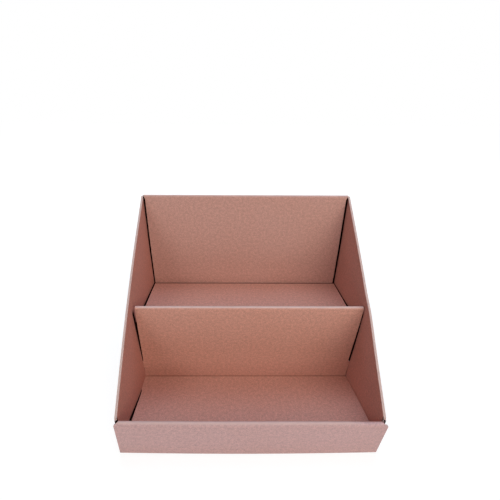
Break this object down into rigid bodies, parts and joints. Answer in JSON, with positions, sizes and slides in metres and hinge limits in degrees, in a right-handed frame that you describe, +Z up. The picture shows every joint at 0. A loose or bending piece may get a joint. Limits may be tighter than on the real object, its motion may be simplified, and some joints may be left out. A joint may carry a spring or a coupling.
{
  "type": "cardboard display stand",
  "caption": "Stepped counter display stand in kraft corrugated board: a folded tray with low front lip, sloping sides and high back, and a folded step that makes a raised rear tier.",
  "frame": {"origin": "on the ground under the middle of the stand's outer box", "axes": "+Z up, the open front with the low lip towards -Y, +X to the right as seen from the front"},
  "size_m": [0.2, 0.145, 0.165],
  "materials": {
    "kraft_board": "uncoated brown kraft liner with fine fibre flecks, matt"
  },
  "bodies": {
    "root": {"outer_tray": "kraft_board", "step_insert": "kraft_board"}
  },
  "joints": []
}
